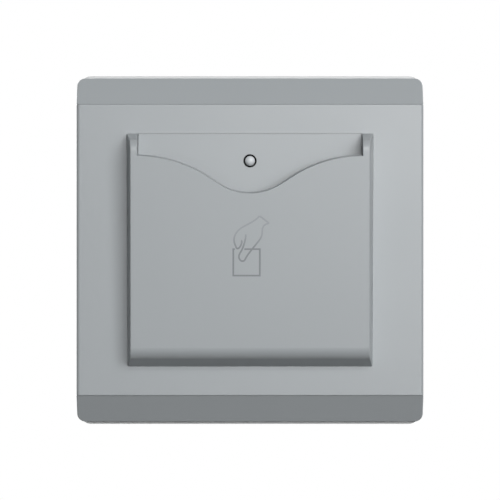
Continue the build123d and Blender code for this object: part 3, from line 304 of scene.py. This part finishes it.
def lens_material():
    """Frosted light pipe. Its collar round the lens is painted black and made duller: painted shade for the
    dark gap round the lens.
    """
    lens_edge, collar_edge, edge_soft = 1.24 * MM, 9.0 * MM, 0.04 * MM
    lens_roughness, collar_roughness = 0.18, 0.90
    # Painted shade: this black on the collar stands in for the shadow in the gap round the lens.
    collar_painted_shade = (0.012, 0.012, 0.013)
    low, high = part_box("light_pipe")
    centre = (Vector(low) + Vector(high)) / 2
    material = plastic("frosted_lens", (0.60, 0.63, 0.65), lens_roughness, tone=0.03, grain=1800.0, bump=0.04)
    tree = material.node_tree
    shader = tree.nodes["Principled BSDF"]
    # Mask of the collar ring: it gets the painted shade and the duller roughness.
    painted_shade_collar = between(tree, distance_from(tree, centre, (1, 0, 1)), lens_edge, collar_edge, edge_soft)
    tree.links.new(mix_colour(tree, painted_shade_collar, colour_in(material), collar_painted_shade), shader.inputs["Base Color"])
    duller = combine(tree, "MULTIPLY", painted_shade_collar, collar_roughness - lens_roughness)
    tree.links.new(combine(tree, "ADD", duller, lens_roughness), shader.inputs["Roughness"])
    return material


finishes = {
    "satin_grey": satin_grey("satin_grey_shell"),
    "light_grey": plastic("light_grey_base", (0.62, 0.63, 0.63), roughness=0.45),
    "white_nylon": plastic("natural_nylon", (0.78, 0.78, 0.74), roughness=0.42, tone=0.05),
    "red_plastic": plastic("red_plunger", (0.52, 0.035, 0.03), roughness=0.28),
    "bright_steel": plated("zinc_plated_steel", (0.66, 0.67, 0.68), (0.42, 0.40, 0.36)),
    "black_plastic": plastic("black_moulding", (0.028, 0.029, 0.031), roughness=0.48, tone=0.25,
                             grain=1900.0, bump=0.25),
    "relay_blue": plastic("relay_blue_case", (0.03, 0.10, 0.30), roughness=0.25),
    "brass": plated("plain_brass", (0.74, 0.54, 0.24), (0.42, 0.27, 0.12), amount=0.5),
    "capacitor_yellow": plastic("capacitor_case", (0.72, 0.48, 0.04), roughness=0.32),
    "varistor_blue": plastic("dipped_varistor", (0.04, 0.16, 0.42), roughness=0.3, tone=0.08,
                             grain=900.0, bump=0.3),
    "resistor_grey": plastic("cement_coating", (0.30, 0.33, 0.34), roughness=0.7, tone=0.12,
                             grain=1500.0, bump=0.4),
    "winding": winding_material(),
    "board_green": board_material(),
    "frosted_lens": lens_material(),
}
marked_cover = marked_cover_material()

slot_of = {part["node"]: part["material_slot"] for part in frame["record"]["subparts"]}
for name, node in nodes.items():
    finish = marked_cover if name == "pocket_cover" else finishes[slot_of[name]]
    for held in node.material_slots:
        held.material = finish


# Floor, world, lights and camera
floor_height = -75.0 * MM
floor_size = 6.0


def seen_by_eye(tree):
    """One for the rays that reach the eye, straight, through glass or in a gloss."""
    paths = tree.nodes.new("ShaderNodeLightPath").outputs
    seen = combine(tree, "MAXIMUM", paths["Is Camera Ray"], paths["Is Transmission Ray"])
    return combine(tree, "MAXIMUM", seen, paths["Is Glossy Ray"])


def mix_shaders(tree, mask, first, second):
    """The first shader, turned to the second where the mask is one."""
    mix = tree.nodes.new("ShaderNodeMixShader")
    tree.links.new(mask, mix.inputs["Fac"])
    tree.links.new(first, mix.inputs[1])
    tree.links.new(second, mix.inputs[2])
    return mix.outputs[0]


def floor_material():
    """Pale floor: shaded near the object, plain white to the eye further out, and clear from under it."""
    dim_to_light = (0.10, 0.10, 0.10)
    pale_to_eye = (0.90, 0.90, 0.90)
    white_from, white_full, white_under_object = 0.05, 0.12, 0.45
    material = bpy.data.materials.new("pale_floor")
    material.use_nodes = True
    tree = material.node_tree
    shader = tree.nodes["Principled BSDF"]
    set_inputs(shader, {"Roughness": 0.9, "Specular IOR Level": 0.1})
    seen = seen_by_eye(tree)
    tree.links.new(mix_colour(tree, seen, dim_to_light, pale_to_eye), shader.inputs["Base Color"])
    reach = distance_from(tree, (0, 0, floor_height), (1, 1, 1))
    whitened = map_range(tree, reach, white_from, white_full, white_under_object, 1.0, "SMOOTHSTEP")
    white = tree.nodes.new("ShaderNodeEmission")
    set_inputs(white, {"Color": (1, 1, 1, 1), "Strength": 1.0})
    above = mix_shaders(tree, combine(tree, "MULTIPLY", whitened, seen), shader.outputs[0], white.outputs[0])
    under = tree.nodes.new("ShaderNodeNewGeometry").outputs["Backfacing"]
    clear = tree.nodes.new("ShaderNodeBsdfTransparent").outputs[0]
    tree.links.new(mix_shaders(tree, under, above, clear), tree.nodes["Material Output"].inputs["Surface"])
    return material


def make_floor():
    """A flat square under the object, which isn't part of it."""
    work = bmesh.new()
    bmesh.ops.create_grid(work, x_segments=1, y_segments=1, size=floor_size / 2)
    bmesh.ops.translate(work, verts=work.verts, vec=(0, 0, floor_height))
    mesh = bpy.data.meshes.new("floor")
    work.to_mesh(mesh)
    work.free()
    floor = bpy.data.objects.new("floor", mesh)
    mesh.materials.append(floor_material())
    bpy.context.scene.collection.objects.link(floor)


def make_world():
    """White to the eye, and a dim room with a darker left side to the light."""
    dark_left = (0.005, 0.005, 0.006, 1)
    dim_right = (0.16, 0.16, 0.16, 1)
    stops = ((0.25, dark_left), (0.85, dim_right))
    world = bpy.data.worlds.new("studio")
    bpy.context.scene.world = world
    world.use_nodes = True
    tree = world.node_tree
    room = tree.nodes["Background"]
    split = tree.nodes.new("ShaderNodeSeparateXYZ")
    tree.links.new(tree.nodes.new("ShaderNodeTexCoord").outputs["Generated"], split.inputs[0])
    ramp = tree.nodes.new("ShaderNodeValToRGB")
    for stop, (position, colour) in zip(ramp.color_ramp.elements, stops):
        stop.position = position
        stop.color = colour
    across = combine(tree, "ADD", combine(tree, "MULTIPLY", split.outputs["X"], 0.5), 0.5)
    tree.links.new(across, ramp.inputs["Fac"])
    tree.links.new(ramp.outputs["Color"], room.inputs["Color"])
    white = tree.nodes.new("ShaderNodeBackground")
    set_inputs(white, {"Color": (1, 1, 1, 1), "Strength": 1.0})
    surface = mix_shaders(tree, seen_by_eye(tree), room.outputs[0], white.outputs[0])
    tree.links.new(surface, tree.nodes["World Output"].inputs["Surface"])


def softbox(name, place, size, radiance):
    """A square soft light that looks at the middle of the plate, as bright as its radiance says."""
    lamp = bpy.data.lights.new(name, "AREA")
    lamp.shape = "SQUARE"
    lamp.size = size
    lamp.energy = radiance * math.pi * size**2
    light = bpy.data.objects.new(name, lamp)
    bpy.context.scene.collection.objects.link(light)
    light.location = place
    light.rotation_mode = "QUATERNION"
    light.rotation_quaternion = (-Vector(place)).to_track_quat("-Z", "Y")


def make_camera():
    """Looks straight at the plate, and frames it as the photograph does."""
    camera_distance = 0.85
    outline_plane = 7.5 * MM
    photo_pixels = 500
    pixels_per_mm = 4.03
    photo_width = photo_pixels / pixels_per_mm * MM
    camera_data = bpy.data.cameras.new("view")
    camera_data.sensor_width = 36.0
    camera_data.lens = camera_data.sensor_width * (camera_distance - outline_plane) / photo_width
    camera_data.clip_start = 0.01
    camera_data.clip_end = 20.0
    camera = bpy.data.objects.new("view", camera_data)
    camera.location = (0, -camera_distance, 0)
    camera.rotation_euler = (math.radians(90), 0, 0)
    bpy.context.scene.collection.objects.link(camera)
    bpy.context.scene.camera = camera


make_floor()
make_world()
softbox("front_softbox", (0.35, -1.10, 0.35), size=0.84, radiance=6.5)
softbox("top_softbox", (0.18, -0.62, 1.05), size=0.62, radiance=0.2)
softbox("back_left_fill", (-0.9, 1.0, 0.5), size=0.8, radiance=3.2)
softbox("back_right_fill", (0.9, 0.9, 0.7), size=0.8, radiance=3.2)
make_camera()
bpy.context.scene.view_settings.view_transform = "Standard"
